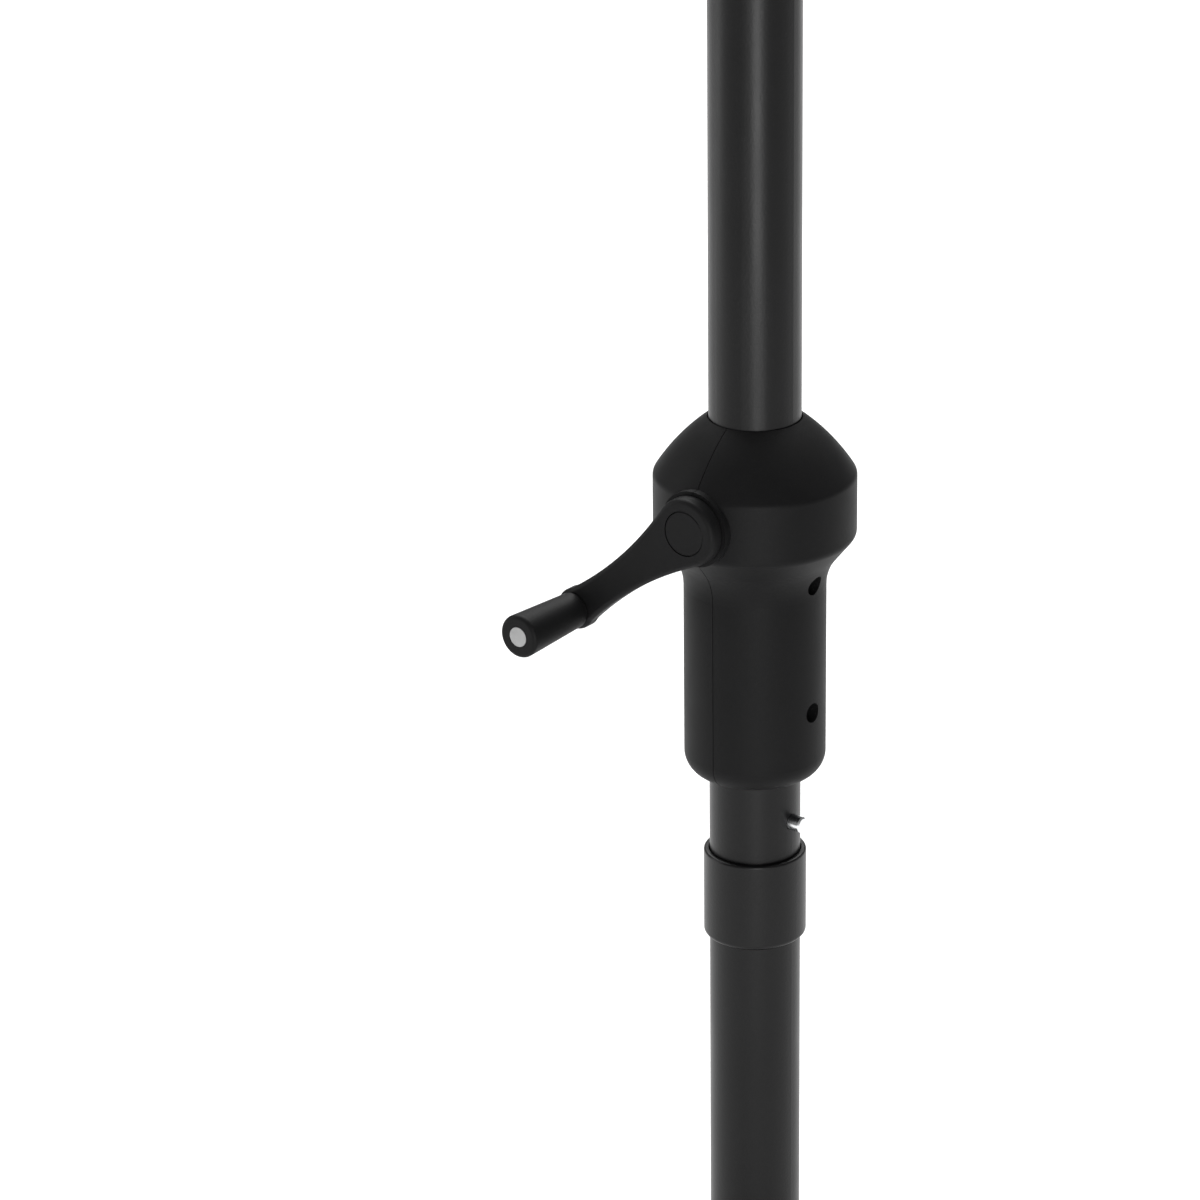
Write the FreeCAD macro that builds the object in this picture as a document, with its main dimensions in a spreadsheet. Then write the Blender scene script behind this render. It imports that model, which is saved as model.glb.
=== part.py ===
import FreeCAD, Part
import math
import os

import Sketcher

# Crank-lift section of a two-piece umbrella mast, in millimetres.
# The origin is the centre of the lower pole's foot, +Z is up the mast and the crank's shaft
# lies along Y with the crank on the -Y side. The housing's halves meet on the plane x = 0.

DIMENSIONS = {
    # mast
    "overall_height": 614.0,
    "crank_height": 352.0,
    "joint_height": 180.0,
    "pole_radius": 19.0,
    "pole_wall": 1.5,
    "socket_growth": 0.3,
    "socket_depth": 60.0,
    "edge_break": 0.4,
    "running_gap": 0.1,
    "seat_gap": 0.05,
    # neck tube and collar at the joint between the poles
    "neck_wall": 1.5,
    "neck_above": 54.0,
    "neck_below": 78.0,
    "swage": 0.3,
    "swage_lead": 0.6,
    "collar_radius": 21.45,
    "collar_above": 16.6,
    "collar_below": 22.0,
    "collar_mouth_gap": 0.5,
    "collar_top_round": 1.1,
    "collar_foot_round": 2.0,
    # foot plug
    "plug_depth": 22.0,
    "plug_wall": 3.0,
    # snap button and its leaf spring
    "button_height": 212.6,
    "button_radius": 3.35,
    "button_chamfer": 0.6,
    "button_reach": 24.6,
    "button_flange_radius": 4.6,
    "button_flange_inner": 13.95,
    "button_flange_outer": 15.0,
    "leaf_width": 6.0,
    "leaf_gauge": 0.6,
    "leaf_drop": 38.0,
    "leaf_rise": 4.0,
    "leaf_heel": 15.4,
    # housing, heights counted from the crank's axis
    "housing_top": 36.4,
    "housing_bottom": 120.4,
    "belt_radius": 41.65,
    "belt_above": 12.1,
    "belt_below": 13.5,
    "barrel_radius": 29.3,
    "barrel_start": 28.8,
    "dome_bulge": 88.0,
    "shoulder_round": 3.8,
    "belt_round": 4.2,
    "throat_round": 22.0,
    "shell_wall": 2.5,
    "opening_gap": 0.4,
    "seam_gap": 0.3,
    "rib_drop_high": 46.0,
    "rib_drop_low": 104.0,
    "rib_gauge": 2.5,
    # through screws of the housing
    "upper_screw_drop": 31.0,
    "lower_screw_drop": 87.5,
    "screw_radius": 2.0,
    "screw_hole_radius": 2.2,
    "screw_head_radius": 3.8,
    "screw_head_height": 2.6,
    "screw_seat": 20.8,
    "screw_post_radius": 7.0,
    "screw_post_end": 28.0,
    "screw_well_radius": 4.2,
    "driver_cross": 3.6,
    "driver_slot": 0.9,
    "nut_radius": 4.04,
    "nut_height": 3.2,
    # drive line, distances counted outwards from the mast's axis towards the crank
    "shaft_radius": 4.0,
    "shaft_flat": 3.3,
    "shaft_front": 45.0,
    "shaft_rear": 34.0,
    "window_half_width": 13.0,
    "window_half_height": 25.0,
    "shaft_hole_radius": 6.0,
    "spool_flange_radius": 23.0,
    "spool_core_radius": 10.0,
    "spool_half_width": 11.0,
    "spool_flange_gauge": 2.0,
    "spool_hub_radius": 7.5,
    "spool_hub_reach": 14.5,
    "cord_hole_radius": 1.6,
    "cross_pin_radius": 1.5,
    "drum_radius": 18.0,
    "drum_bore_radius": 13.0,
    "drum_start": 21.5,
    "drum_end": 34.0,
    "drum_key_width": 6.0,
    "drum_key_reach": 20.5,
    "cradle_start": 24.0,
    "cradle_end": 33.0,
    "cradle_half_height": 11.0,
    "cradle_half_width": 22.5,
    "brake_hub_radius": 10.8,
    "brake_hub_flange": 12.6,
    "brake_hub_start": 21.9,
    "brake_hub_end": 33.8,
    "brake_flange_gauge": 1.0,
    "coil_radius": 11.95,
    "coil_wire_radius": 1.0,
    "coil_pitch": 2.25,
    "coil_height": 8.8,
    "ring_radius": 16.0,
    "ring_front": 42.3,
    "front_bush_radius": 9.5,
    "front_bush_flange": 11.5,
    "front_bush_front": 42.1,
    "front_bush_back": 34.0,
    "bush_flange_gauge": 1.5,
    "rear_bush_radius": 6.0,
    "rear_bush_flange": 8.0,
    "rear_bush_inner": 26.6,
    "rear_bush_outer": 36.0,
    "rear_boss_radius": 10.0,
    "rear_boss_end": 39.5,
    "washer_radius": 7.5,
    "washer_gauge": 1.0,
    "clip_radius": 6.5,
    "clip_gauge": 1.0,
    "clip_groove_radius": 3.2,
    "clip_mouth": 5.4,
    # crank
    "crank_radius": 73.0,
    "crank_rest_angle": 219.2,
    "arm_back": 42.6,
    "arm_front": 48.8,
    "arm_boss_radius": 14.4,
    "arm_eye_radius": 8.8,
    "arm_root_reach": 4.0,
    "arm_tip_reach": 69.3,
    "arm_waist_bend": 165.0,
    "arm_corner_round": 8.0,
    "arm_edge_round": 2.0,
    "arm_hub_radius": 7.5,
    "arm_hub_back": 35.0,
    "cap_radius": 9.3,
    "cap_gap": 0.25,
    "cap_gauge": 1.4,
    "arm_screw_radius": 2.5,
    "arm_screw_depth": 14.0,
    "arm_screw_head_radius": 4.6,
    "arm_screw_head_height": 2.2,
    # grip and the rivet it spins on
    "grip_start": 49.1,
    "grip_end": 85.5,
    "grip_root_radius": 7.6,
    "grip_tip_radius": 9.2,
    "grip_root_round": 0.8,
    "grip_tip_round": 1.6,
    "rivet_radius": 3.0,
    "rivet_head_radius": 4.15,
    "rivet_head_gauge": 3.0,
    "rivet_tail_radius": 4.2,
    "rivet_tail_gauge": 1.2,
    "rivet_washer_radius": 6.0,
    "rivet_washer_gauge": 1.0,
}

doc = FreeCAD.newDocument("CrankLiftMast")
dim = doc.addObject("Spreadsheet::Sheet", "dim")
sub_parts = {}


def fill_sheet():
    """Writes every driving dimension into the sheet under its alias."""
    for row, (alias, value) in enumerate(DIMENSIONS.items(), start=1):
        dim.set(f"A{row}", alias)
        dim.set(f"B{row}", str(value))
        dim.setAlias(f"B{row}", alias)
    doc.recompute()


def number(expression):
    """The value of an expression of the sheet's dimensions, in millimetres or degrees."""
    value = dim.evalExpression(str(expression))
    return float(getattr(value, "Value", value))


def keep(name, shape_object):
    """Labels an object as the sub-part of that name."""
    shape_object.Label = name
    sub_parts[name] = shape_object
    return shape_object


# ---- placements ----------------------------------------------------------------------------

ALONG_Z = FreeCAD.Rotation()
ALONG_CRANK = FreeCAD.Rotation(FreeCAD.Vector(1, 0, 0), 90)
ALONG_X = FreeCAD.Rotation(FreeCAD.Vector(0, 1, 0), 90)
GRIP_X = "dim.crank_radius * cos(dim.crank_rest_angle)"
GRIP_Z = "dim.crank_height + dim.crank_radius * sin(dim.crank_rest_angle)"


def place(item, x="0", y="0", z="0", turn=ALONG_Z):
    """Puts an object at a place bound to the sheet."""
    base = FreeCAD.Vector(number(x), number(y), number(z))
    item.Placement = FreeCAD.Placement(base, turn)
    for axis, expression in (("x", x), ("y", y), ("z", z)):
        if expression != "0":
            item.setExpression(f"Placement.Base.{axis}", expression)
    return item


# ---- primitives and booleans ---------------------------------------------------------------


def bind(item, **expressions):
    """Binds each named property of an object to an expression."""
    for prop, expression in expressions.items():
        item.setExpression(prop, expression)
    return item


def cylinder(name, radius, start, end, x="0", y="0", z="0", turn=ALONG_Z):
    """A cylinder from start to end along its own axis, which passes through (x, y, z)."""
    item = doc.addObject("Part::Cylinder", name)
    bind(item, Radius=radius, Height=f"({end}) - ({start})")
    if turn is ALONG_Z:
        return place(item, x, y, f"({z}) + ({start})", turn)
    if turn is ALONG_CRANK:
        return place(item, x, f"({y}) - ({start})", z, turn)
    return place(item, f"({x}) + ({start})", y, z, turn)


def box(name, x_range, y_range, z_range):
    """A box between two expressions on each axis."""
    item = doc.addObject("Part::Box", name)
    sizes = [f"({high}) - ({low})" for low, high in (x_range, y_range, z_range)]
    bind(item, Length=sizes[0], Width=sizes[1], Height=sizes[2])
    return place(item, x_range[0], y_range[0], z_range[0])


def fuse(name, *items):
    item = doc.addObject("Part::MultiFuse", name)
    item.Shapes = list(items)
    return item


def cut(name, base, *tools):
    """The base with every tool taken out of it."""
    item = doc.addObject("Part::Cut", name)
    item.Base = base
    item.Tool = tools[0] if len(tools) == 1 else fuse(name + "_tools", *tools)
    return item


def common(name, first, second):
    item = doc.addObject("Part::Common", name)
    item.Base = first
    item.Tool = second
    return item


# ---- part design ---------------------------------------------------------------------------


def new_body(name):
    return doc.addObject("PartDesign::Body", name)


def new_sketch(body, name, role):
    """A sketch on one of the body's own origin planes."""
    sketch = body.newObject("Sketcher::SketchObject", name)
    planes = [plane for plane in body.Origin.OriginFeatures if plane.Role == role]
    sketch.AttachmentSupport = [(planes[0], "")]
    sketch.MapMode = "FlatFace"
    return sketch


def arc_between(start, end, radius):
    """The short arc from start to end. Its centre is on the left of the way if radius > 0."""
    chord = end - start
    middle = (start + end) * 0.5
    left = FreeCAD.Vector(-chord.y, chord.x, 0).normalize()
    rise = math.sqrt(radius * radius - chord.Length * chord.Length / 4)
    centre = middle + left * math.copysign(rise, radius)
    circle = Part.Circle(centre, FreeCAD.Vector(0, 0, 1), abs(radius))
    first, last = (start, end) if radius > 0 else (end, start)
    angles = [math.atan2(p.y - centre.y, p.x - centre.x) for p in (first, last)]
    if angles[1] < angles[0]:
        angles[1] += 2 * math.pi
    return Part.ArcOfCircle(circle, angles[0], angles[1])


def closed_outline(sketch, corners):
    """Draws an outline whose corners are (x, y) or (x, y, radius of the arc that follows)."""
    points = [FreeCAD.Vector(number(c[0]), number(c[1]), 0) for c in corners]
    ends = []
    for index, corner in enumerate(corners):
        start, end = points[index], points[(index + 1) % len(points)]
        if len(corner) == 2:
            sketch.addGeometry(Part.LineSegment(start, end))
            ends.append((1, 2))
            continue
        radius = number(corner[2])
        sketch.addGeometry(arc_between(start, end, radius))
        ends.append((1, 2) if radius > 0 else (2, 1))
        rule = sketch.addConstraint(Sketcher.Constraint("Radius", index, abs(radius)))
        sketch.setExpression(f"Constraints[{rule}]", f"abs({corner[2]})")
    for index, corner in enumerate(corners):
        after = (index + 1) % len(corners)
        joined = Sketcher.Constraint("Coincident", index, ends[index][1], after, ends[after][0])
        sketch.addConstraint(joined)
        for kind, expression in (("DistanceX", corner[0]), ("DistanceY", corner[1])):
            value = number(expression)
            held = Sketcher.Constraint(kind, -1, 1, index, ends[index][0], value)
            rule = sketch.addConstraint(held)
            sketch.setExpression(f"Constraints[{rule}]", expression)


def revolved(name, corners):
    """A body turned about its own Z axis from an outline of (radius, height) corners."""
    body = new_body(name)
    sketch = new_sketch(body, name + "_outline", "XZ_Plane")
    closed_outline(sketch, corners)
    turned = body.newObject("PartDesign::Revolution", name + "_turned")
    turned.Profile = sketch
    turned.ReferenceAxis = (sketch, ["V_Axis"])
    turned.Angle = 360
    doc.recompute()
    return body


def padded(name, role, corners, length, midplane=False):
    """A body padded from an outline on one of its origin planes."""
    body = new_body(name)
    sketch = new_sketch(body, name + "_outline", role)
    closed_outline(sketch, corners)
    pad = body.newObject("PartDesign::Pad", name + "_pad")
    pad.Profile = sketch
    pad.Midplane = midplane
    pad.setExpression("Length", length)
    doc.recompute()
    return body


def circle_edges(shape, radius, height):
    """Names of the full circles of that radius at that height on a turned shape."""
    names = []
    for index, edge in enumerate(shape.Edges, start=1):
        curve = edge.Curve
        if not isinstance(curve, Part.Circle):
            continue
        right_size = abs(curve.Radius - radius) < 1e-3
        if right_size and abs(curve.Center.z - height) < 1e-3:
            names.append(f"Edge{index}")
    return names


def round_circle(body, radius, height, size):
    """Rounds the circular edge of a turned body at (radius, height)."""
    base = body.Tip
    names = circle_edges(base.Shape, number(radius), number(height))
    if not names:
        raise ValueError(f"{body.Name}: no circle of {radius} at {height}")
    rounded = body.newObject("PartDesign::Fillet", f"{body.Name}_round")
    rounded.Base = (base, names)
    rounded.setExpression("Radius", size)
    doc.recompute()
    return rounded


def bevel_circle(body, radius, height, size):
    """Chamfers the circular edge of a turned body at (radius, height)."""
    base = body.Tip
    bevel = body.newObject("PartDesign::Chamfer", f"{body.Name}_bevel")
    bevel.Base = (base, circle_edges(base.Shape, number(radius), number(height)))
    bevel.setExpression("Size", size)
    doc.recompute()
    return bevel


def tube_outline(inner, outer, start, end):
    return [(inner, start), (outer, start), (outer, end), (inner, end)]


# ---- poles ---------------------------------------------------------------------------------

POLE_BORE = "(dim.pole_radius - dim.pole_wall)"
SCREW_DROPS = {"upper": "dim.upper_screw_drop", "lower": "dim.lower_screw_drop"}


def make_upper_pole():
    """The upper pole: a socket at its top, the spool's window and the shaft, screw and button holes."""
    socket_floor = "dim.overall_height - dim.socket_depth"
    section = [
        (POLE_BORE, "dim.joint_height"),
        ("dim.pole_radius", "dim.joint_height"),
        ("dim.pole_radius", "dim.overall_height"),
        (f"{POLE_BORE} + dim.socket_growth", "dim.overall_height"),
        (f"{POLE_BORE} + dim.socket_growth", socket_floor),
        (POLE_BORE, socket_floor),
    ]
    tube = revolved("upper_pole_tube", section)
    bevel_circle(tube, "dim.pole_radius", "dim.joint_height", "dim.edge_break")
    bevel_circle(tube, "dim.pole_radius", "dim.overall_height", "dim.edge_break")
    window = box(
        "spool_window",
        ("-dim.pole_radius - 1", "dim.pole_radius + 1"),
        ("-dim.window_half_width", "dim.window_half_width"),
        (
            "dim.crank_height - dim.window_half_height",
            "dim.crank_height + dim.window_half_height",
        ),
    )
    shaft_hole = cylinder(
        "pole_shaft_hole",
        "dim.shaft_hole_radius",
        "-dim.pole_radius - 1",
        "dim.pole_radius + 1",
        z="dim.crank_height",
        turn=ALONG_CRANK,
    )
    button_hole = cylinder(
        "pole_button_hole",
        "dim.button_radius + dim.running_gap * 2",
        "dim.pole_radius / 2",
        "dim.pole_radius + 1",
        z="dim.button_height",
        turn=ALONG_X,
    )
    screw_holes = [
        cylinder(
            f"pole_{name}_screw_hole",
            "dim.screw_hole_radius",
            "-dim.pole_radius - 1",
            "dim.pole_radius + 1",
            z=f"dim.crank_height - {drop}",
            turn=ALONG_X,
        )
        for name, drop in SCREW_DROPS.items()
    ]
    keep("upper_pole", cut("upper_pole_cut", tube, window, shaft_hole, button_hole, *screw_holes))


SWAGED_RADIUS = "(dim.pole_radius - dim.swage)"
SWAGE_START = "dim.joint_height - dim.collar_below - dim.swage_lead"


def make_lower_pole():
    """The lower pole: its foot goes into a base's socket and its swaged top carries the collar."""
    section = [
        (POLE_BORE, "0"),
        ("dim.pole_radius", "0"),
        ("dim.pole_radius", SWAGE_START),
        (SWAGED_RADIUS, SWAGE_START),
        (SWAGED_RADIUS, "dim.joint_height"),
        (POLE_BORE, "dim.joint_height"),
    ]
    tube = revolved("lower_pole_tube", section)
    bevel_circle(tube, SWAGED_RADIUS, "dim.joint_height", "dim.edge_break")
    keep("lower_pole", tube)


def make_neck_tube():
    """The tube pressed into the lower pole, which the upper pole slides down over."""
    free = f"({POLE_BORE} - dim.running_gap)"
    bore = f"({POLE_BORE} - dim.running_gap - dim.neck_wall)"
    bottom = "dim.joint_height - dim.neck_below"
    top = "dim.joint_height + dim.neck_above"
    corners = [
        (bore, bottom),
        (POLE_BORE, bottom),
        (POLE_BORE, "dim.joint_height - dim.edge_break"),
        (free, "dim.joint_height"),
        (free, top),
        (bore, top),
    ]
    tube = revolved("neck_tube_body", corners)
    bevel_circle(tube, free, top, "dim.edge_break * 2")
    button_hole = cylinder(
        "neck_button_hole",
        "dim.button_radius + dim.running_gap",
        "dim.pole_radius / 2",
        "dim.pole_radius",
        z="dim.button_height",
        turn=ALONG_X,
    )
    keep("neck_tube", cut("neck_tube_cut", tube, button_hole))


def make_joint_collar():
    """The collar over the joint: pressed on the lower pole, a slide fit for the upper one."""
    mouth = "(dim.pole_radius + dim.collar_mouth_gap)"
    top = "dim.joint_height + dim.collar_above"
    bottom = "dim.joint_height - dim.collar_below"
    corners = [
        (SWAGED_RADIUS, bottom),
        ("dim.collar_radius", bottom),
        ("dim.collar_radius", top),
        (mouth, top),
        (mouth, "dim.joint_height + dim.collar_mouth_gap"),
        (SWAGED_RADIUS, "dim.joint_height"),
    ]
    collar = revolved("joint_collar_body", corners)
    round_circle(collar, "dim.collar_radius", top, "dim.collar_top_round")
    round_circle(collar, "dim.collar_radius", bottom, "dim.collar_foot_round")
    keep("joint_collar", collar)


def make_foot_plug():
    """The plastic cup pressed into the lower pole's foot, flush with its end."""
    inner = f"({POLE_BORE} - dim.plug_wall)"
    corners = [
        ("0", "0"),
        (POLE_BORE, "0"),
        (POLE_BORE, "dim.plug_depth - dim.plug_wall"),
        (f"{POLE_BORE} - dim.plug_wall / 3", "dim.plug_depth"),
        (inner, "dim.plug_depth"),
        (inner, "dim.plug_wall"),
        ("0", "dim.plug_wall"),
    ]
    keep("foot_plug", revolved("foot_plug_body", corners))


# ---- snap button ---------------------------------------------------------------------------


def make_snap_button():
    """The flanged button that pokes out through the neck tube and the upper pole."""
    corners = [
        ("0", "dim.button_flange_inner"),
        ("dim.button_flange_radius", "dim.button_flange_inner"),
        ("dim.button_flange_radius", "dim.button_flange_outer"),
        ("dim.button_radius", "dim.button_flange_outer"),
        ("dim.button_radius", "dim.button_reach"),
        ("0", "dim.button_reach"),
    ]
    button = revolved("snap_button_body", corners)
    bevel_circle(button, "dim.button_radius", "dim.button_reach", "dim.button_chamfer")
    place(button, z="dim.button_height", turn=ALONG_X)
    keep("snap_button", button)


def make_snap_spring():
    """The V-shaped leaf that pushes the button out from the neck tube's far wall."""
    toe = "dim.button_flange_inner"
    slant = "dim.leaf_gauge * 1.1"
    corners = [
        (toe, "dim.leaf_rise"),
        ("dim.leaf_gauge * 2", "-dim.leaf_drop"),
        ("-dim.leaf_gauge * 2", "-dim.leaf_drop"),
        ("-dim.leaf_heel", "dim.leaf_rise"),
        (f"-dim.leaf_heel + {slant}", "dim.leaf_rise"),
        ("-dim.leaf_gauge", "dim.leaf_gauge * 2 - dim.leaf_drop"),
        ("dim.leaf_gauge", "dim.leaf_gauge * 2 - dim.leaf_drop"),
        (f"{toe} - {slant}", "dim.leaf_rise"),
    ]
    leaf = padded("snap_spring_body", "XZ_Plane", corners, "dim.leaf_width", midplane=True)
    keep("snap_spring", place(leaf, z="dim.button_height"))


# ---- housing -------------------------------------------------------------------------------

OPENING = "(dim.pole_radius + dim.opening_gap)"
RIB_BORE = "(dim.pole_radius + dim.seat_gap)"
BARREL_BORE = "(dim.barrel_radius - dim.shell_wall)"
BELT_BORE = "(dim.belt_radius - dim.shell_wall)"
BASE_ROUND = f"(dim.barrel_radius - {OPENING})"
RIB_HEIGHTS = ("-dim.rib_drop_low", "-dim.rib_drop_high")


def wall_outline():
    """The section of the housing's wall: up the outside, then down the inside past the ribs."""
    outside = [
        (OPENING, "-dim.housing_bottom", BASE_ROUND),
        ("dim.barrel_radius", f"{BASE_ROUND} - dim.housing_bottom"),
        ("dim.barrel_radius", "-dim.barrel_start"),
        ("dim.belt_radius", "-dim.belt_below"),
        ("dim.belt_radius", "dim.belt_above", "dim.dome_bulge"),
        (OPENING, "dim.housing_top"),
    ]
    inside = [
        (OPENING, "dim.housing_top - dim.shell_wall", "-(dim.dome_bulge - dim.shell_wall)"),
        (BELT_BORE, "dim.belt_above"),
        (BELT_BORE, "-dim.belt_below"),
        (BARREL_BORE, "-dim.barrel_start"),
    ]
    for height in reversed(RIB_HEIGHTS):
        inside += [
            (BARREL_BORE, height),
            (RIB_BORE, height),
            (RIB_BORE, f"{height} - dim.rib_gauge"),
            (BARREL_BORE, f"{height} - dim.rib_gauge"),
        ]
    inside += [
        (
            BARREL_BORE,
            f"{BASE_ROUND} - dim.housing_bottom",
            f"-({BASE_ROUND} - dim.shell_wall)",
        ),
        (OPENING, "dim.shell_wall - dim.housing_bottom"),
    ]
    return outside + inside


def make_half_wall(side, sign):
    """Half of the housing's wall, turned through 180 degrees on the side of that sign."""
    name = f"housing_{side}_wall"
    body = new_body(name)
    sketch = new_sketch(body, name + "_outline", "YZ_Plane")
    closed_outline(sketch, wall_outline())
    turned = body.newObject("PartDesign::Revolution", name + "_turned")
    turned.Profile = sketch
    turned.ReferenceAxis = (sketch, ["V_Axis"])
    turned.Angle = 180
    turned.Reversed = sign > 0
    doc.recompute()
    for radius, height, size in (
        ("dim.belt_radius", "dim.belt_above", "dim.shoulder_round"),
        ("dim.belt_radius", "-dim.belt_below", "dim.belt_round"),
        ("dim.barrel_radius", "-dim.barrel_start", "dim.throat_round"),
    ):
        round_circle(body, radius, height, size)
    return place(body, x=f"{sign} * dim.seam_gap / 2", z="dim.crank_height")


def screw_axis_cylinder(name, radius, start, end, drop):
    """A cylinder across the mast on the axis of a housing screw."""
    height = f"dim.crank_height - {drop}"
    return cylinder(name, radius, start, end, z=height, turn=ALONG_X)


def crank_axis_cylinder(name, radius, start, end):
    """A cylinder on the crank's axis, from start to end outwards from the mast's axis."""
    return cylinder(name, radius, start, end, z="dim.crank_height", turn=ALONG_CRANK)


def side_range(sign, start, end):
    """A range of x from start to end on the side of that sign, lower end first."""
    if sign > 0:
        return (start, end)
    return (f"-({end})", f"-({start})")


def make_bearing_blocks():
    """The ring in front of the drum, the boss of the rear bush and the drum's cradle."""
    ring = crank_axis_cylinder(
        "crank_ring", "dim.ring_radius", "dim.front_bush_back", "dim.ring_front"
    )
    boss = crank_axis_cylinder(
        "rear_boss",
        "dim.rear_boss_radius",
        "-dim.rear_boss_end",
        "-dim.rear_bush_inner - dim.bush_flange_gauge",
    )
    cradle = box(
        "cradle",
        ("-dim.cradle_half_width", "dim.cradle_half_width"),
        ("-dim.cradle_end", "-dim.cradle_start"),
        (
            "dim.crank_height - dim.cradle_half_height",
            "dim.crank_height + dim.cradle_half_height",
        ),
    )
    return fuse("bearing_blocks", ring, boss, cradle)


def make_bearing_hollows():
    """The seats of both bushes and of the brake drum with its keys."""
    seat = "dim.seat_gap"
    key_half = f"(dim.drum_key_width / 2 + {seat})"
    key_reach = f"(dim.drum_key_reach + {seat})"
    return [
        crank_axis_cylinder(
            "front_bush_seat",
            f"dim.front_bush_radius + {seat} / 2",
            "dim.front_bush_back - 1",
            "dim.ring_front + 1",
        ),
        crank_axis_cylinder(
            "front_flange_seat",
            f"dim.front_bush_flange + {seat}",
            "dim.front_bush_back - 1",
            "dim.front_bush_back + dim.bush_flange_gauge",
        ),
        crank_axis_cylinder(
            "rear_bush_seat",
            f"dim.rear_bush_radius + {seat} / 2",
            "-dim.rear_bush_outer",
            "-dim.rear_bush_inner",
        ),
        crank_axis_cylinder(
            "drum_seat", f"dim.drum_radius + {seat}", "dim.drum_start", "dim.drum_end"
        ),
        box(
            "drum_key_seat",
            (f"-{key_reach}", key_reach),
            ("-dim.drum_end", "-dim.drum_start"),
            (f"dim.crank_height - {key_half}", f"dim.crank_height + {key_half}"),
        ),
    ]


def make_housing():
    """Both halves of the clamshell housing, which meet on the plane x = 0."""
    blocks = make_bearing_blocks()
    bearing_hollows = make_bearing_hollows()
    pole_way = cylinder(
        "pole_way",
        RIB_BORE,
        "-dim.housing_bottom",
        "dim.housing_top",
        z="dim.crank_height",
    )
    for side, sign in (("left", -1), ("right", 1)):
        half_space = box(
            f"{side}_space",
            side_range(sign, "dim.seam_gap / 2", "dim.belt_radius"),
            ("-dim.belt_radius * 2", "dim.belt_radius * 2"),
            ("dim.crank_height - dim.belt_radius", "dim.crank_height + dim.belt_radius"),
        )
        pieces = [make_half_wall(side, sign), common(f"{side}_blocks", blocks, half_space)]
        hollows = list(bearing_hollows)
        for name, drop in SCREW_DROPS.items():
            label = f"{side}_{name}"
            inner, outer = side_range(sign, "dim.pole_radius / 2", "dim.screw_post_end")
            post = screw_axis_cylinder(f"{label}_post", "dim.screw_post_radius", inner, outer, drop)
            pieces.append(cut(f"{label}_post_cut", post, pole_way))
            inner, outer = side_range(sign, "0", "dim.belt_radius + 1")
            hollows.append(
                screw_axis_cylinder(f"{label}_way", "dim.screw_hole_radius", inner, outer, drop)
            )
            inner, outer = side_range(sign, "dim.screw_seat", "dim.belt_radius + 1")
            hollows.append(
                screw_axis_cylinder(f"{label}_well", "dim.screw_well_radius", inner, outer, drop)
            )
        half = fuse(f"housing_{side}_whole", *pieces)
        keep(f"housing_{side}", cut(f"housing_{side}_bored", half, *hollows))


def make_housing_screws():
    """Two pan-head machine screws that pass through both halves and the pole."""
    screws = []
    for name, drop in SCREW_DROPS.items():
        height = f"dim.crank_height - {drop}"
        seat = "dim.screw_seat"
        top = f"{seat} + dim.screw_head_height"
        shank = screw_axis_cylinder(
            f"{name}_shank",
            "dim.screw_radius",
            f"-{seat} - dim.nut_height - dim.washer_gauge",
            f"{seat} + dim.seat_gap",
            drop,
        )
        head = screw_axis_cylinder(f"{name}_head", "dim.screw_head_radius", seat, top, drop)
        slots = [
            box(
                f"{name}_recess_{way}",
                (f"{top} - dim.screw_head_height / 2", f"{top} + 1"),
                (f"-({half_y})", half_y),
                (f"{height} - {half_z}", f"{height} + {half_z}"),
            )
            for way, half_y, half_z in (
                ("flat", "dim.driver_cross / 2", "dim.driver_slot / 2"),
                ("upright", "dim.driver_slot / 2", "dim.driver_cross / 2"),
            )
        ]
        screws.append(cut(f"{name}_screw", fuse(f"{name}_screw_blank", shank, head), *slots))
    keep("housing_screws", fuse("housing_screws_pair", *screws))


def make_housing_nuts():
    """The hexagon nuts in the left half's wells."""
    nuts = []
    for name, drop in SCREW_DROPS.items():
        hexagon = doc.addObject("Part::Prism", f"{name}_nut_blank")
        hexagon.Polygon = 6
        bind(hexagon, Circumradius="dim.nut_radius", Height="dim.nut_height")
        start = "-dim.screw_seat - dim.nut_height"
        place(hexagon, x=start, z=f"dim.crank_height - {drop}", turn=ALONG_X)
        bore = screw_axis_cylinder(
            f"{name}_nut_bore", "dim.screw_radius", f"{start} - 1", "-dim.screw_seat + 1", drop
        )
        nuts.append(cut(f"{name}_nut", hexagon, bore))
    keep("housing_nuts", fuse("housing_nuts_pair", *nuts))


# ---- drive line ----------------------------------------------------------------------------


def on_crank_axis(body):
    """Stands a body, turned about its own Z, on the crank's axis facing outwards."""
    return place(body, z="dim.crank_height", turn=ALONG_CRANK)


SPOOL_PIN_AT = "dim.spool_half_width + (dim.spool_hub_reach - dim.spool_half_width) / 2"
BRAKE_PIN_AT = "(dim.brake_hub_start + dim.brake_hub_end) / 2"


def cross_pin(name, at, half_length, radius):
    """A cylinder that crosses the crank's shaft upright at a distance outwards."""
    start, end = f"-({half_length})", half_length
    return cylinder(name, radius, start, end, y=f"-({at})", z="dim.crank_height")


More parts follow.
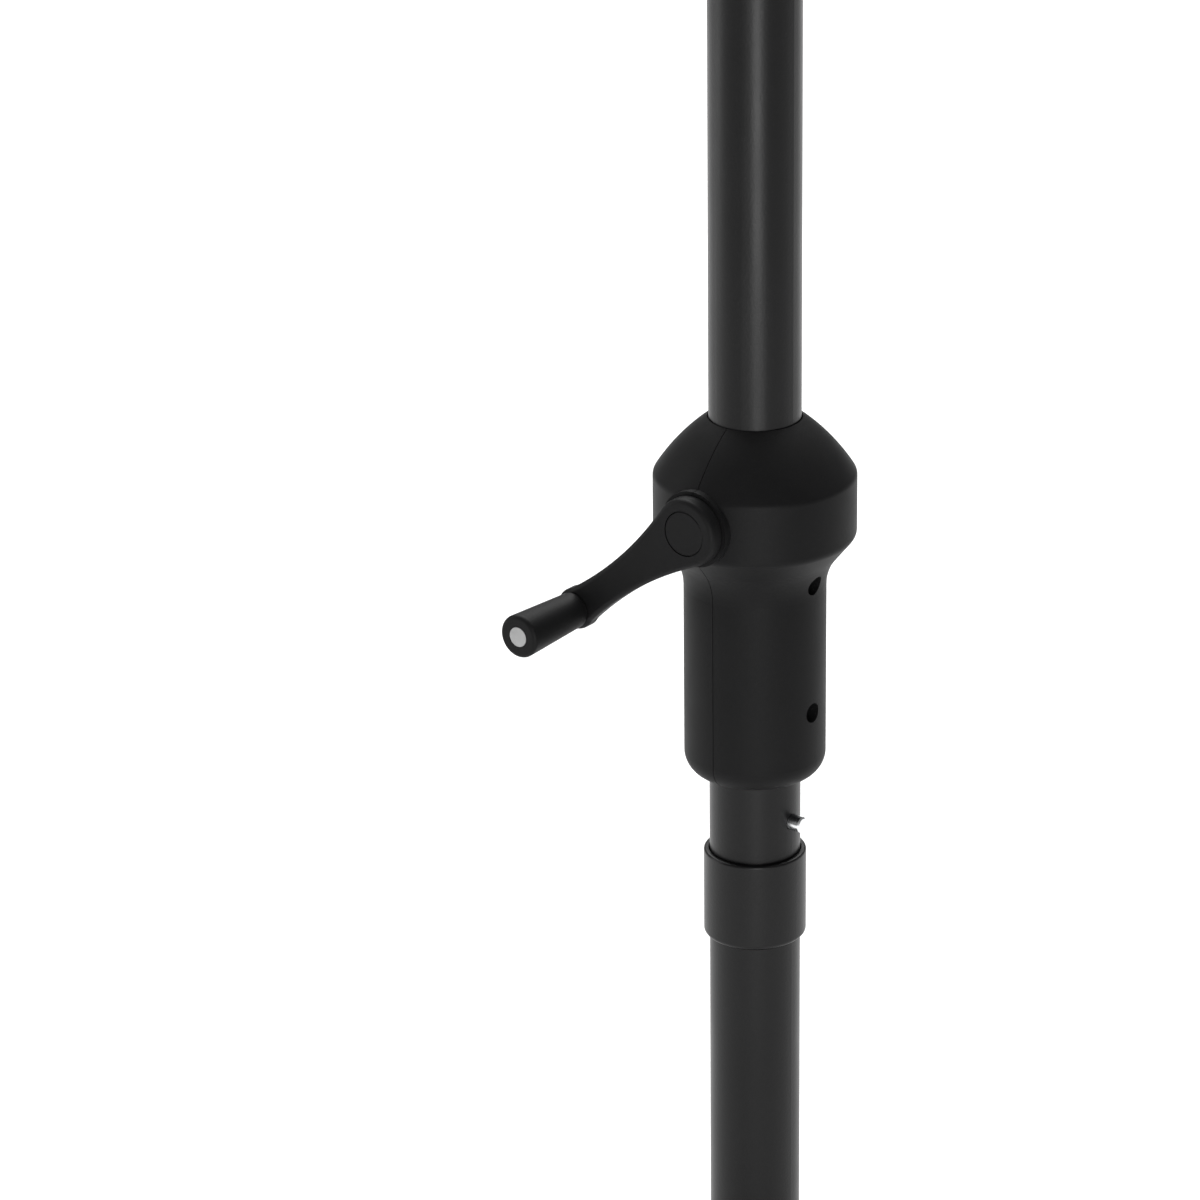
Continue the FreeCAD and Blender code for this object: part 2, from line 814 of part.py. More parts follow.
def make_crank_shaft():
    """The shaft, with its clip groove, the flat that drives the arm and the arm screw's hole."""
    clip_start = "-dim.rear_bush_inner + dim.washer_gauge"
    clip_end = f"{clip_start} + dim.clip_gauge"
    corners = [
        ("0", "-dim.shaft_rear"),
        ("dim.shaft_radius", "-dim.shaft_rear"),
        ("dim.shaft_radius", clip_start),
        ("dim.clip_groove_radius", clip_start),
        ("dim.clip_groove_radius", clip_end),
        ("dim.shaft_radius", clip_end),
        ("dim.shaft_radius", "dim.shaft_front"),
        ("dim.arm_screw_radius", "dim.shaft_front"),
        ("dim.arm_screw_radius", "dim.shaft_front - dim.arm_screw_depth"),
        ("0", "dim.shaft_front - dim.arm_screw_depth"),
    ]
    shaft = revolved("crank_shaft_body", corners)
    bevel_circle(shaft, "dim.shaft_radius", "-dim.shaft_rear", "dim.edge_break")
    on_crank_axis(shaft)
    flat = box(
        "shaft_flat_cutter",
        ("-dim.shaft_radius * 2", "dim.shaft_radius * 2"),
        ("-dim.shaft_front - 1", "-dim.arm_hub_back"),
        ("dim.crank_height + dim.shaft_flat", "dim.crank_height + dim.shaft_radius * 2"),
    )
    reach = "dim.shaft_radius + 1"
    holes = [
        cross_pin("shaft_spool_pin_hole", SPOOL_PIN_AT, reach, "dim.cross_pin_radius"),
        cross_pin("shaft_brake_pin_hole", BRAKE_PIN_AT, reach, "dim.cross_pin_radius"),
    ]
    keep("crank_shaft", cut("crank_shaft_cut", shaft, flat, *holes))


def make_cord_spool():
    """The spool that winds the lift cord, with a hub for its cross pin and a cord hole."""
    bore = "dim.shaft_radius"
    flange, core = "dim.spool_flange_radius", "dim.spool_core_radius"
    half, gauge = "dim.spool_half_width", "dim.spool_flange_gauge"
    corners = [
        (bore, f"-{half}"),
        (flange, f"-{half}"),
        (flange, f"{gauge} - {half}"),
        (core, f"{gauge} - {half}"),
        (core, f"{half} - {gauge}"),
        (flange, f"{half} - {gauge}"),
        (flange, half),
        ("dim.spool_hub_radius", half),
        ("dim.spool_hub_radius", "dim.spool_hub_reach"),
        (bore, "dim.spool_hub_reach"),
    ]
    spool = on_crank_axis(revolved("cord_spool_body", corners))
    pin_hole = cross_pin(
        "spool_pin_hole", SPOOL_PIN_AT, "dim.spool_hub_radius + 1", "dim.cross_pin_radius"
    )
    cord_hole = cylinder(
        "spool_cord_hole",
        "dim.cord_hole_radius",
        f"{half} - {gauge} - 1",
        f"{half} + 1",
        x="(dim.spool_core_radius + dim.spool_flange_radius) / 2",
        z="dim.crank_height",
        turn=ALONG_CRANK,
    )
    keep("cord_spool", cut("cord_spool_cut", spool, pin_hole, cord_hole))


def make_cross_pins():
    """The two spring pins that key the spool and the brake hub to the shaft."""
    gap = "dim.running_gap"
    pins = [
        cross_pin("spool_pin", SPOOL_PIN_AT, f"dim.spool_hub_radius - {gap}", "dim.cross_pin_radius"),
        cross_pin("brake_pin", BRAKE_PIN_AT, f"dim.brake_hub_radius - {gap}", "dim.cross_pin_radius"),
    ]
    keep("cross_pins", fuse("cross_pins_pair", *pins))


def make_brake_drum():
    """The drum held by the housing's cradle, keyed on both sides."""
    start, end = "dim.drum_start", "dim.drum_end"
    section = tube_outline("dim.drum_bore_radius", "dim.drum_radius", start, end)
    ring = on_crank_axis(revolved("brake_drum_ring", section))
    keys = box(
        "drum_keys",
        ("-dim.drum_key_reach", "dim.drum_key_reach"),
        ("-dim.cradle_end", "-dim.cradle_start"),
        (
            "dim.crank_height - dim.drum_key_width / 2",
            "dim.crank_height + dim.drum_key_width / 2",
        ),
    )
    middle = "(dim.drum_radius + dim.drum_bore_radius) / 2"
    core = crank_axis_cylinder("drum_key_core", middle, f"{start} - 1", f"{end} + 1")
    keep("brake_drum", fuse("brake_drum_fused", ring, cut("drum_lugs", keys, core)))


def make_brake_hub():
    """The hub pinned to the shaft that carries the wrap spring."""
    bore = "dim.shaft_radius"
    hub, flange = "dim.brake_hub_radius", "dim.brake_hub_flange"
    shoulder = "dim.brake_hub_end - dim.brake_flange_gauge"
    corners = [
        (bore, "dim.brake_hub_start"),
        (hub, "dim.brake_hub_start"),
        (hub, shoulder),
        (flange, shoulder),
        (flange, "dim.brake_hub_end"),
        (bore, "dim.brake_hub_end"),
    ]
    body = on_crank_axis(revolved("brake_hub_body", corners))
    pin_hole = cross_pin(
        "brake_hub_pin_hole", BRAKE_PIN_AT, "dim.brake_hub_flange + 1", "dim.cross_pin_radius"
    )
    keep("brake_hub", cut("brake_hub_cut", body, pin_hole))


def make_wrap_spring():
    """The coil that swells against the drum and holds the load when the crank is let go."""
    body = new_body("wrap_spring_body")
    sketch = new_sketch(body, "wrap_spring_wire", "XZ_Plane")
    start = "dim.brake_hub_start + dim.coil_wire_radius"
    centre = FreeCAD.Vector(number("dim.coil_radius"), number(start), 0)
    normal = FreeCAD.Vector(0, 0, 1)
    wire = sketch.addGeometry(Part.Circle(centre, normal, number("dim.coil_wire_radius")))
    for kind, expression, value in (
        ("DistanceX", "dim.coil_radius", centre.x),
        ("DistanceY", start, centre.y),
    ):
        rule = sketch.addConstraint(Sketcher.Constraint(kind, -1, 1, wire, 3, value))
        sketch.setExpression(f"Constraints[{rule}]", expression)
    size = Sketcher.Constraint("Radius", wire, number("dim.coil_wire_radius"))
    rule = sketch.addConstraint(size)
    sketch.setExpression(f"Constraints[{rule}]", "dim.coil_wire_radius")
    coil = body.newObject("PartDesign::AdditiveHelix", "wrap_spring_coil")
    coil.Profile = sketch
    coil.ReferenceAxis = (sketch, ["V_Axis"])
    coil.Mode = "pitch-height-angle"
    bind(coil, Pitch="dim.coil_pitch", Height="dim.coil_height")
    keep("wrap_spring", on_crank_axis(body))


def flanged_bush(name, bore, body_radius, flange_radius, flange_start, flange_end, tip):
    """A flanged bush on the crank's axis, its body from the flange's back to the tip."""
    corners = [
        (bore, flange_start),
        (flange_radius, flange_start),
        (flange_radius, flange_end),
        (body_radius, flange_end),
        (body_radius, tip),
        (bore, tip),
    ]
    keep(name, on_crank_axis(revolved(name + "_body", corners)))


def make_bushes():
    """The front bush under the arm's hub and the rear bush under the shaft's tail."""
    flanged_bush(
        "front_bush",
        "dim.arm_hub_radius + dim.seat_gap",
        "dim.front_bush_radius",
        "dim.front_bush_flange",
        "dim.front_bush_back",
        "dim.front_bush_back + dim.bush_flange_gauge",
        "dim.front_bush_front",
    )
    flanged_bush(
        "rear_bush",
        "dim.shaft_radius + dim.seat_gap",
        "dim.rear_bush_radius",
        "dim.rear_bush_flange",
        "-dim.rear_bush_inner",
        "-dim.rear_bush_inner - dim.bush_flange_gauge",
        "-dim.rear_bush_outer",
    )


def make_thrust_washer():
    """The washer between the rear bush and the shaft's clip."""
    start = "-dim.rear_bush_inner + dim.seat_gap"
    end = "-dim.rear_bush_inner + dim.washer_gauge"
    corners = tube_outline("dim.shaft_radius + dim.running_gap", "dim.washer_radius", start, end)
    keep("thrust_washer", on_crank_axis(revolved("thrust_washer_body", corners)))


def make_shaft_clip():
    """The E-clip in the shaft's groove."""
    start = "-dim.rear_bush_inner + dim.washer_gauge"
    end = f"{start} + dim.clip_gauge"
    disc = revolved("shaft_clip_disc", tube_outline("dim.clip_groove_radius", "dim.clip_radius", start, end))
    on_crank_axis(disc)
    mouth = box(
        "shaft_clip_mouth",
        ("-dim.clip_mouth / 2", "dim.clip_mouth / 2"),
        (f"-({end}) - 1", f"-({start}) + 1"),
        ("dim.crank_height - dim.clip_radius * 2", "dim.crank_height"),
    )
    keep("shaft_clip", cut("shaft_clip_cut", disc, mouth))


# ---- crank ---------------------------------------------------------------------------------

ARM_TURN = ALONG_CRANK.multiply(
    FreeCAD.Rotation(FreeCAD.Vector(0, 0, 1), DIMENSIONS["crank_rest_angle"])
)


def plane_edges(shape, height):
    """Names of the edges that lie in the plane at that height."""
    names = []
    for index, edge in enumerate(shape.Edges, start=1):
        bounds = edge.BoundBox
        if abs(bounds.ZMin - height) < 1e-3 and abs(bounds.ZMax - height) < 1e-3:
            names.append(f"Edge{index}")
    return names


def upright_edges(shape, x):
    """Names of the straight edges along Z at that x."""
    names = []
    for index, edge in enumerate(shape.Edges, start=1):
        bounds = edge.BoundBox
        if bounds.ZLength > 1 and abs(bounds.XMin - x) < 1e-2 and abs(bounds.XMax - x) < 1e-2:
            names.append(f"Edge{index}")
    return names


def round_edges(body, name, edges, size):
    """Rounds the named edges of a body's tip."""
    base = body.Tip
    rounded = body.newObject("PartDesign::Fillet", name)
    rounded.Base = (base, edges)
    rounded.setExpression("Radius", size)
    doc.recompute()


def make_arm_blank():
    """The arm's plate: a waisted web between boss and eye, with its front edges rounded."""
    body = new_body("arm_blank")
    sketch = new_sketch(body, "arm_plan", "XY_Plane")
    sketch.setExpression("AttachmentOffset.Base.z", "dim.arm_back")
    boss, eye, bend = "dim.arm_boss_radius", "dim.arm_eye_radius", "-dim.arm_waist_bend"
    root, tip = "dim.arm_root_reach", "dim.arm_tip_reach"
    root_half = f"sqrt({boss} ^ 2 - {root} ^ 2)"
    tip_half = f"sqrt({eye} ^ 2 - (dim.crank_radius - {tip}) ^ 2)"
    corners = [
        (f"-{boss}", "0", boss),
        (root, f"-{root_half}", bend),
        (tip, f"-{tip_half}", eye),
        (f"dim.crank_radius + {eye}", "0", eye),
        (tip, tip_half, bend),
        (root, root_half, boss),
    ]
    closed_outline(sketch, corners)
    plate = body.newObject("PartDesign::Pad", "arm_plate")
    plate.Profile = sketch
    plate.setExpression("Length", "dim.arm_front - dim.arm_back")
    doc.recompute()
    tip_corners = upright_edges(body.Tip.Shape, number(tip))
    round_edges(body, "arm_tip_round", tip_corners, "dim.arm_corner_round")
    front = plane_edges(body.Tip.Shape, number("dim.arm_front"))
    round_edges(body, "arm_front_round", front, "dim.arm_edge_round")
    base = FreeCAD.Vector(0, 0, number("dim.crank_height"))
    body.Placement = FreeCAD.Placement(base, ARM_TURN)
    body.setExpression("Placement.Base.z", "dim.crank_height")
    return body


CAP_SEAT = "(dim.arm_front - dim.cap_gauge)"
ARM_SCREW_SEAT = "dim.shaft_front"


def make_crank_arm():
    """The crank's arm with its rear hub, the shaft's D bore, and the cap and rivet seats."""
    hub = crank_axis_cylinder("arm_hub", "dim.arm_hub_radius", "dim.arm_hub_back", "dim.arm_back + 1")
    blank = fuse("arm_with_hub", make_arm_blank(), hub)
    round_bore = crank_axis_cylinder(
        "arm_round_bore", "dim.shaft_radius", "dim.arm_hub_back - 1", ARM_SCREW_SEAT
    )
    flat_side = box(
        "arm_bore_flat",
        ("-dim.shaft_radius * 2", "dim.shaft_radius * 2"),
        ("-dim.arm_front", "-dim.arm_hub_back + 1"),
        ("dim.crank_height + dim.shaft_flat", "dim.crank_height + dim.shaft_radius * 2"),
    )
    hollows = [
        cut("arm_d_bore", round_bore, flat_side),
        crank_axis_cylinder(
            "arm_screw_way", "dim.arm_screw_radius + dim.running_gap", "dim.arm_back", "dim.arm_front"
        ),
        crank_axis_cylinder(
            "arm_head_well",
            "dim.arm_screw_head_radius + dim.running_gap * 2",
            ARM_SCREW_SEAT,
            "dim.arm_front + 1",
        ),
        crank_axis_cylinder(
            "arm_cap_well", "dim.cap_radius + dim.cap_gap", CAP_SEAT, "dim.arm_front + 1"
        ),
        cylinder(
            "arm_rivet_hole",
            "dim.rivet_radius",
            "dim.arm_back - 1",
            "dim.arm_front + 1",
            x=GRIP_X,
            z=GRIP_Z,
            turn=ALONG_CRANK,
        ),
    ]
    keep("crank_arm", cut("crank_arm_cut", blank, *hollows))


def make_arm_screw():
    """The screw that holds the arm on the shaft's end."""
    top = f"{ARM_SCREW_SEAT} + dim.arm_screw_head_height"
    tip = f"{ARM_SCREW_SEAT} - dim.arm_screw_depth + 1"
    corners = [
        ("0", tip),
        ("dim.arm_screw_radius", tip),
        ("dim.arm_screw_radius", ARM_SCREW_SEAT),
        ("dim.arm_screw_head_radius", ARM_SCREW_SEAT),
        ("dim.arm_screw_head_radius", top),
        ("0", top),
    ]
    keep("arm_screw", on_crank_axis(revolved("arm_screw_body", corners)))


def make_arm_cap():
    """The press-in disc that covers the arm screw."""
    corners = [
        ("0", CAP_SEAT),
        ("dim.cap_radius", CAP_SEAT),
        ("dim.cap_radius", "dim.arm_front"),
        ("0", "dim.arm_front"),
    ]
    cap = revolved("arm_cap_body", corners)
    bevel_circle(cap, "dim.cap_radius", "dim.arm_front", "dim.edge_break")
    keep("arm_cap", on_crank_axis(cap))


def on_grip_axis(body):
    """Stands a body, turned about its own Z, on the grip's axis facing outwards."""
    return place(body, x=GRIP_X, z=GRIP_Z, turn=ALONG_CRANK)


def make_crank_grip():
    """The tapered grip that spins on its rivet."""
    bore = "(dim.rivet_radius + dim.running_gap)"
    recess = "(dim.rivet_head_radius + dim.running_gap * 2)"
    seat = "(dim.grip_end - dim.rivet_head_gauge - dim.running_gap)"
    corners = [
        (bore, "dim.grip_start"),
        ("dim.grip_root_radius", "dim.grip_start"),
        ("dim.grip_tip_radius", "dim.grip_end"),
        (recess, "dim.grip_end"),
        (recess, seat),
        (bore, seat),
    ]
    grip = revolved("crank_grip_body", corners)
    round_circle(grip, "dim.grip_root_radius", "dim.grip_start", "dim.grip_root_round")
    round_circle(grip, "dim.grip_tip_radius", "dim.grip_end", "dim.grip_tip_round")
    keep("crank_grip", on_grip_axis(grip))


def make_grip_rivet():
    """The headed rivet through the grip, clenched behind the arm's eye."""
    head = "dim.grip_end - dim.rivet_head_gauge"
    washer = "dim.arm_back - dim.rivet_washer_gauge"
    tail = f"{washer} - dim.rivet_tail_gauge"
    corners = [
        ("0", tail),
        ("dim.rivet_tail_radius - dim.edge_break", tail),
        ("dim.rivet_tail_radius", f"{tail} + dim.edge_break"),
        ("dim.rivet_tail_radius", washer),
        ("dim.rivet_radius", washer),
        ("dim.rivet_radius", head),
        ("dim.rivet_head_radius", head),
        ("dim.rivet_head_radius", "dim.grip_end"),
        ("0", "dim.grip_end"),
    ]
    keep("grip_rivet", on_grip_axis(revolved("grip_rivet_body", corners)))


def make_rivet_washer():
    """The washer under the rivet's clenched tail."""
    start = "dim.arm_back - dim.rivet_washer_gauge"
    corners = tube_outline("dim.rivet_radius", "dim.rivet_washer_radius", start, "dim.arm_back")
    keep("rivet_washer", on_grip_axis(revolved("rivet_washer_body", corners)))


# ---- build, check and write ----------------------------------------------------------------


def build():
    fill_sheet()
    make_upper_pole()
    make_lower_pole()
    make_neck_tube()
    make_joint_collar()
    make_foot_plug()
    make_snap_button()
    make_snap_spring()
    make_housing()
    make_housing_screws()
    make_housing_nuts()
    make_crank_shaft()
    make_cord_spool()
    make_cross_pins()
    make_brake_drum()
    make_brake_hub()
    make_wrap_spring()
    make_bushes()
    make_thrust_washer()
    make_shaft_clip()
    make_crank_arm()
    make_arm_screw()
    make_arm_cap()
    make_crank_grip()
    make_grip_rivet()
    make_rivet_washer()
    doc.recompute()


def check():
    """Stops if any object of the document failed or any sub-part has no valid shape."""
    for item in doc.Objects:
        if "Invalid" in item.State or "Error" in item.State:
            raise RuntimeError(f"{item.Name} is {item.State}")
    for name, item in sub_parts.items():
        if item.Shape.isNull() or not item.Shape.isValid() or not item.Shape.Solids:
            raise RuntimeError(f"{name} has no valid solid")


def write():
    os.makedirs("parts", exist_ok=True)
    for name, item in sub_parts.items():
        item.Shape.exportStep(f"parts/{name}.step")


build()
check()
write()
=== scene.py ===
import math

import bpy
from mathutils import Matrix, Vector


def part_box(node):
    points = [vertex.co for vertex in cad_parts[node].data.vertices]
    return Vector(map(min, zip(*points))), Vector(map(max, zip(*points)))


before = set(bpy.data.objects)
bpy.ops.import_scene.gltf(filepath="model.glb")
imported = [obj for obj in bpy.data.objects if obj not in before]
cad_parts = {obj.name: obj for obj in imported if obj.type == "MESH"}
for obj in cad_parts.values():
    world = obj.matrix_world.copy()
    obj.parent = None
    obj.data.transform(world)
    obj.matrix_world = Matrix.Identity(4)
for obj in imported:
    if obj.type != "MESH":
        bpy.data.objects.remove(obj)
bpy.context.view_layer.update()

# ---- the view ------------------------------------------------------------------------------

VIEW_AZIMUTH = 36
VIEW_ELEVATION = 22
VIEW_DISTANCE = 2.2
# The width of the frame at the mast's axis, and how far left of the axis its centre lies.
VIEW_WIDTH = 0.4932
FRAME_LEFT = 0.0637
# How far below the crank's shaft the camera aims.
AIM_DROP = 0.0444
SENSOR_WIDTH = 36.0


def node_centre(node):
    """The middle of a CAD node's box."""
    low, high = (Vector(corner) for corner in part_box(node))
    return (low + high) / 2


# ---- shader helpers ------------------------------------------------------------------------

NOISE_ROUGHNESS = 0.55
# Nearly all of a noise's values lie between these two.
NOISE_LOW = 0.3
NOISE_HIGH = 0.7


class Surface:
    """A Principled material and the short calls that build its procedural detail."""

    def __init__(self, name, shine=0.5, metallic=0.0):
        self.material = bpy.data.materials.new(name)
        self.material.use_nodes = True
        self.nodes = self.material.node_tree.nodes
        self.links = self.material.node_tree.links
        self.shader = self.nodes["Principled BSDF"]
        self.place = self.nodes.new("ShaderNodeTexCoord").outputs["Object"]
        self.height = None
        self.shader.inputs["Specular IOR Level"].default_value = shine
        self.shader.inputs["Metallic"].default_value = metallic

    def stretched(self, scale):
        """Object coordinates scaled unevenly, for grain that runs one way."""
        mapping = self.nodes.new("ShaderNodeMapping")
        mapping.inputs["Scale"].default_value = scale
        self.links.new(self.place, mapping.inputs["Vector"])
        return mapping.outputs["Vector"]

    def noise(self, cells, detail, place=None):
        """Noise with so many cells to a metre."""
        texture = self.nodes.new("ShaderNodeTexNoise")
        texture.inputs["Scale"].default_value = cells
        texture.inputs["Detail"].default_value = detail
        texture.inputs["Roughness"].default_value = NOISE_ROUGHNESS
        self.links.new(place or self.place, texture.inputs["Vector"])
        return texture.outputs["Fac"]

    def spread(self, value, low, high):
        """A noise's values stretched to between low and high."""
        ranged = self.nodes.new("ShaderNodeMapRange")
        self.links.new(value, ranged.inputs["Value"])
        for socket, number in (
            ("From Min", NOISE_LOW),
            ("From Max", NOISE_HIGH),
            ("To Min", low),
            ("To Max", high),
        ):
            ranged.inputs[socket].default_value = number
        return ranged.outputs["Result"]

    def colour(self, amount, first, second):
        """Base colour mixed from two colours by an amount between 0 and 1."""
        mix = self.nodes.new("ShaderNodeMix")
        mix.data_type = "RGBA"
        self.links.new(amount, mix.inputs["Factor"])
        colours = [socket for socket in mix.inputs if socket.type == "RGBA"]
        colours[0].default_value = (*first, 1)
        colours[1].default_value = (*second, 1)
        mixed = [socket for socket in mix.outputs if socket.type == "RGBA"][0]
        self.links.new(mixed, self.shader.inputs["Base Color"])

    def rough(self, value):
        """Roughness from a value."""
        self.links.new(value, self.shader.inputs["Roughness"])

    def bump(self, value, strength, distance):
        """Adds a layer of bump over those already there."""
        node = self.nodes.new("ShaderNodeBump")
        node.inputs["Strength"].default_value = strength
        node.inputs["Distance"].default_value = distance
        self.links.new(value, node.inputs["Height"])
        if self.height:
            self.links.new(self.height, node.inputs["Normal"])
        self.height = node.outputs["Normal"]
        self.links.new(self.height, self.shader.inputs["Normal"])


# ---- materials -----------------------------------------------------------------------------

# How many cells each noise has to a metre.
PEEL_CELLS = 900
COAT_CLOUD_CELLS = 14
MOULD_GRAIN_CELLS = 2200
MOULD_CLOUD_CELLS = 22
TOOL_MARK_CELLS = 400
STAIN_CELLS = 60
MOTTLE_CELLS = 40
BEARING_GRAIN_CELLS = 1200
FLOOR_CLOUD_CELLS = 0.6

# The depth of each bump, in metres.
PEEL_DEPTH = 0.0004
GRAIN_DEPTH = 0.0003

# How the coordinates are stretched, so that turning marks run round the crank's shaft and
# drawing marks run up the mast.
ROUND_THE_SHAFT = (1, 12, 1)
UP_THE_MAST = (10, 10, 1)
EVEN = (1, 1, 1)

STEEL = (0.52, 0.53, 0.54)
SPRING_STEEL = (0.42, 0.42, 0.44)
SINTERED_IRON = (0.3, 0.3, 0.31)
ZINC = (0.62, 0.63, 0.65)
BRIGHT_ZINC = (0.78, 0.79, 0.8)
ALUMINIUM = (0.42, 0.42, 0.42)
BLACK_OXIDE = (0.03, 0.03, 0.033)
ACETAL = (0.68, 0.67, 0.63)
BLACK_COAT = (0.0035, 0.0035, 0.0037)
DUSTY_COAT = (0.0055, 0.0055, 0.0058)
FLOOR_SHADE = (0.93, 0.93, 0.93)
FLOOR_LIGHT = (0.96, 0.96, 0.96)
# The grey of black mouldings. The foot plug is a cheaper, paler plastic.
MOULDING_BLACK = 0.0065
PLUG_BLACK = 0.011


def powder_coat():
    """Black satin powder coat: a fine orange peel under patches of faint dust."""
    coat = Surface("powder_coat", shine=0.22)
    peel = coat.noise(PEEL_CELLS, detail=2)
    cloud = coat.noise(COAT_CLOUD_CELLS, detail=4)
    coat.colour(coat.spread(cloud, 0, 1), BLACK_COAT, DUSTY_COAT)
    coat.rough(coat.spread(cloud, 0.33, 0.41))
    coat.bump(peel, 0.12, PEEL_DEPTH)
    return coat.material


def moulded_plastic(name, shade, roughness):
    """Black moulded plastic with a fine spark-eroded grain."""
    plastic = Surface(name, shine=0.1)
    grain = plastic.noise(MOULD_GRAIN_CELLS, detail=2)
    cloud = plastic.noise(MOULD_CLOUD_CELLS, detail=4)
    dark = (shade * 0.85, shade * 0.85, shade * 0.88)
    light = (shade * 1.2, shade * 1.2, shade * 1.24)
    plastic.colour(plastic.spread(cloud, 0, 1), dark, light)
    plastic.rough(plastic.spread(cloud, roughness - 0.04, roughness + 0.05))
    plastic.bump(grain, 0.16, GRAIN_DEPTH)
    return plastic.material


def metal(name, colour, roughness, along=EVEN):
    """Bare or plated metal with tool marks that can run one way, and faint stains."""
    piece = Surface(name, metallic=1.0)
    marks = piece.noise(TOOL_MARK_CELLS, detail=3, place=piece.stretched(along))
    stains = piece.noise(STAIN_CELLS, detail=4)
    darker = tuple(channel * 0.82 for channel in colour)
    piece.colour(piece.spread(stains, 0, 1), darker, colour)
    piece.rough(piece.spread(marks, roughness - 0.06, roughness + 0.08))
    piece.bump(marks, 0.1, GRAIN_DEPTH)
    return piece.material


def natural_plastic(name, colour):
    """Off-white bearing plastic with a soft mottle."""
    plastic = Surface(name)
    cloud = plastic.noise(MOTTLE_CELLS, detail=4)
    shade = tuple(channel * 0.9 for channel in colour)
    plastic.colour(plastic.spread(cloud, 0, 1), shade, colour)
    plastic.rough(plastic.spread(cloud, 0.32, 0.42))
    plastic.bump(plastic.noise(BEARING_GRAIN_CELLS, detail=2), 0.08, GRAIN_DEPTH)
    return plastic.material


def paint_nodes():
    """Gives every CAD node its material."""
    black = powder_coat()
    shell = moulded_plastic("housing_plastic", MOULDING_BLACK, 0.52)
    crank = moulded_plastic("crank_plastic", MOULDING_BLACK, 0.52)
    turned = metal("turned_steel", STEEL, 0.3, ROUND_THE_SHAFT)
    plated = metal("zinc_plate", ZINC, 0.32)
    plug = moulded_plastic("plug_plastic", PLUG_BLACK, 0.55)
    drawn = metal("drawn_tube", STEEL, 0.28, UP_THE_MAST)
    button = metal("button_plate", BRIGHT_ZINC, 0.2)
    rivet = metal("rivet_aluminium", ALUMINIUM, 0.5)
    spring = metal("spring_steel", SPRING_STEEL, 0.34)
    oxide = metal("black_oxide", BLACK_OXIDE, 0.42)
    iron = metal("sintered_iron", SINTERED_IRON, 0.55)
    bearing = natural_plastic("acetal", ACETAL)
    looks = {
        black: ["upper_pole", "lower_pole", "joint_collar"],
        shell: ["housing_left", "housing_right"],
        crank: ["crank_arm", "arm_cap", "crank_grip"],
        plug: ["foot_plug"],
        turned: ["crank_shaft", "brake_hub"],
        plated: ["arm_screw", "thrust_washer", "rivet_washer"],
        drawn: ["neck_tube"],
        button: ["snap_button"],
        rivet: ["grip_rivet"],
        spring: ["snap_spring", "wrap_spring", "cross_pins"],
        oxide: ["housing_screws", "housing_nuts", "shaft_clip"],
        iron: ["brake_drum"],
        bearing: ["cord_spool", "front_bush", "rear_bush"],
    }
    for material, names in looks.items():
        for name in names:
            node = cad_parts[name]
            for index in range(len(node.data.materials)):
                node.data.materials[index] = material


# ---- stage, light and camera ---------------------------------------------------------------

FLOOR_SIZE = 60
FLOOR_DROP = 0.001
WORLD_STRENGTH = 0.22
WHITE = (1, 1, 1, 1)


def make_floor():
    """A pale floor, just below the lower pole's foot, that fills the photograph's view."""
    bpy.ops.mesh.primitive_plane_add(size=FLOOR_SIZE, location=(0, 0, -FLOOR_DROP))
    floor = bpy.context.object
    floor.name = "floor"
    pale = Surface("pale_floor", shine=0.1)
    cloud = pale.noise(FLOOR_CLOUD_CELLS, detail=3)
    pale.colour(pale.spread(cloud, 0, 1), FLOOR_SHADE, FLOOR_LIGHT)
    pale.rough(pale.spread(cloud, 0.85, 0.95))
    floor.data.materials.append(pale.material)


def around(azimuth, elevation, distance, target):
    """A point round the target. Azimuth 0 is on the -Y side and 90 on the +X side."""
    azimuth, elevation = math.radians(azimuth), math.radians(elevation)
    flat = distance * math.cos(elevation)
    rise = distance * math.sin(elevation)
    return target + Vector((flat * math.sin(azimuth), -flat * math.cos(azimuth), rise))


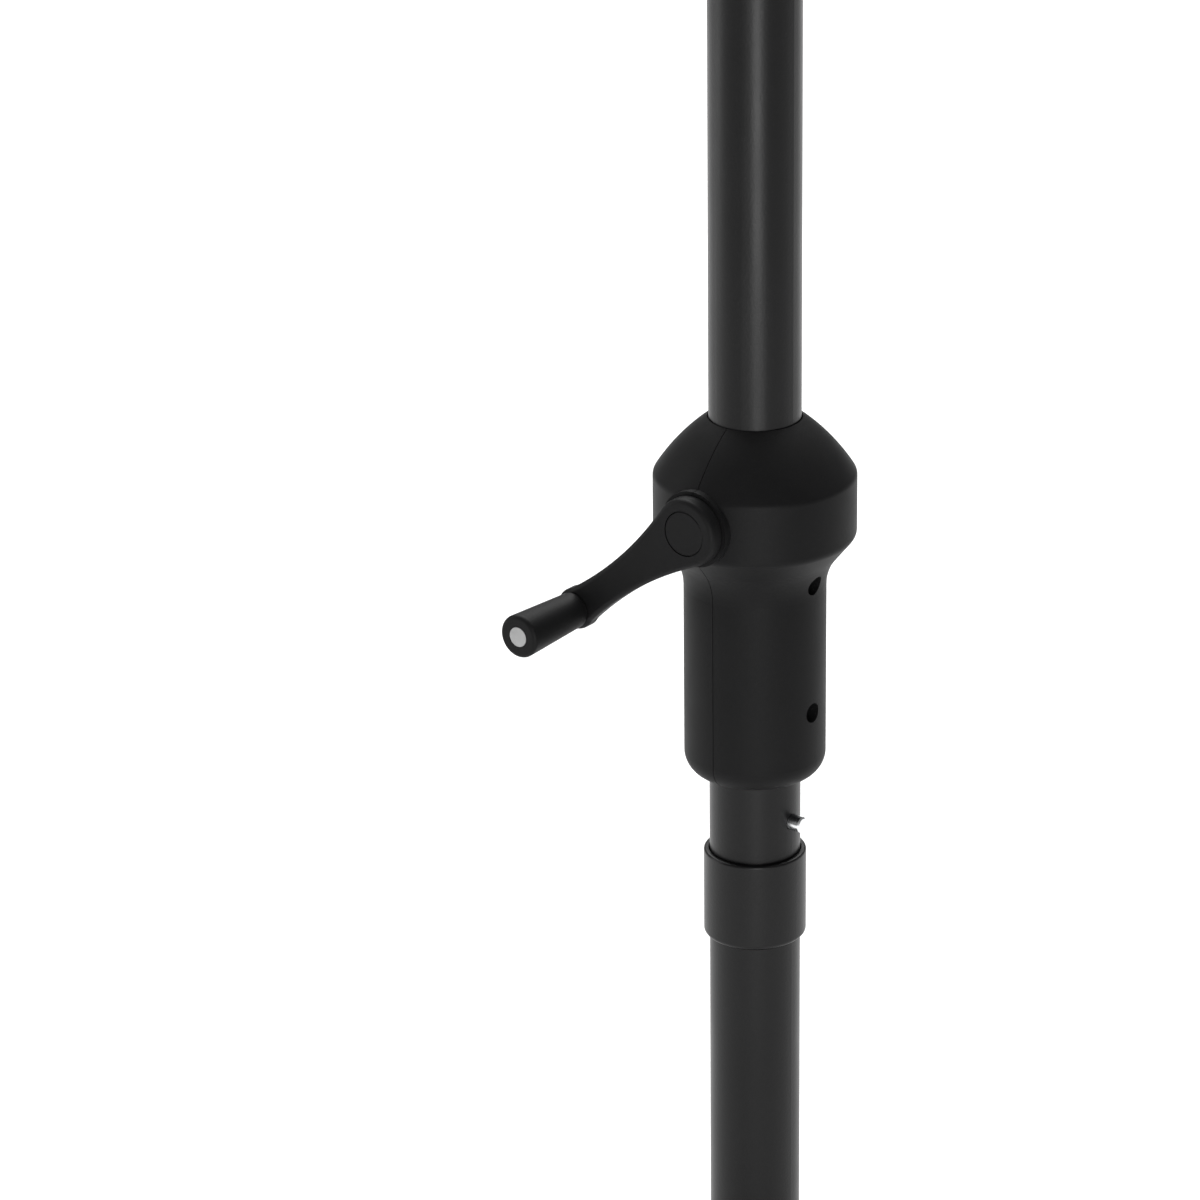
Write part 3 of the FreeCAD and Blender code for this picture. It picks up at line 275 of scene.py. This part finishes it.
def turn_towards(item, target):
    """Turns a lamp or a camera to face the target."""
    item.rotation_euler = (target - item.location).to_track_quat("-Z", "Y").to_euler()


def make_light(name, target, azimuth, elevation, distance, width, height, power):
    """A softbox aimed at the target: angles in degrees, sizes in metres, power in watts."""
    data = bpy.data.lights.new(name, "AREA")
    data.shape = "RECTANGLE"
    data.size = width
    data.size_y = height
    data.energy = power
    lamp = bpy.data.objects.new(name, data)
    bpy.context.scene.collection.objects.link(lamp)
    lamp.location = around(azimuth, elevation, distance, target)
    turn_towards(lamp, target)


def make_lights(shaft):
    """A low strip in front, a rim light on the left, a soft roof behind and a dim world."""
    make_light(
        "front_strip",
        shaft,
        azimuth=40,
        elevation=-1,
        distance=1.5,
        width=0.34,
        height=0.7,
        power=11,
    )
    make_light(
        "left_box",
        shaft,
        azimuth=-62,
        elevation=10,
        distance=1.8,
        width=0.5,
        height=1.8,
        power=10,
    )
    make_light(
        "back_roof",
        shaft,
        azimuth=216,
        elevation=58,
        distance=4.2,
        width=4.5,
        height=4.5,
        power=330,
    )
    world = bpy.data.worlds.new("studio")
    world.use_nodes = True
    background = world.node_tree.nodes["Background"]
    background.inputs["Color"].default_value = WHITE
    background.inputs["Strength"].default_value = WORLD_STRENGTH
    bpy.context.scene.world = world


def make_camera(target):
    """The camera faces the mast's axis, and its frame is shifted left to take in the crank."""
    data = bpy.data.cameras.new("camera")
    data.sensor_width = SENSOR_WIDTH
    data.lens = SENSOR_WIDTH * VIEW_DISTANCE / VIEW_WIDTH
    data.shift_x = -FRAME_LEFT / VIEW_WIDTH
    camera = bpy.data.objects.new("camera", data)
    bpy.context.scene.collection.objects.link(camera)
    camera.location = around(VIEW_AZIMUTH, VIEW_ELEVATION, VIEW_DISTANCE, target)
    turn_towards(camera, target)
    bpy.context.scene.camera = camera


def main():
    """Paints the CAD nodes and builds the stage round them."""
    paint_nodes()
    make_floor()
    shaft = Vector((0, 0, node_centre("crank_shaft").z))
    make_lights(shaft)
    make_camera(shaft - Vector((0, 0, AIM_DROP)))
    bpy.context.scene.view_settings.view_transform = "Standard"


main()
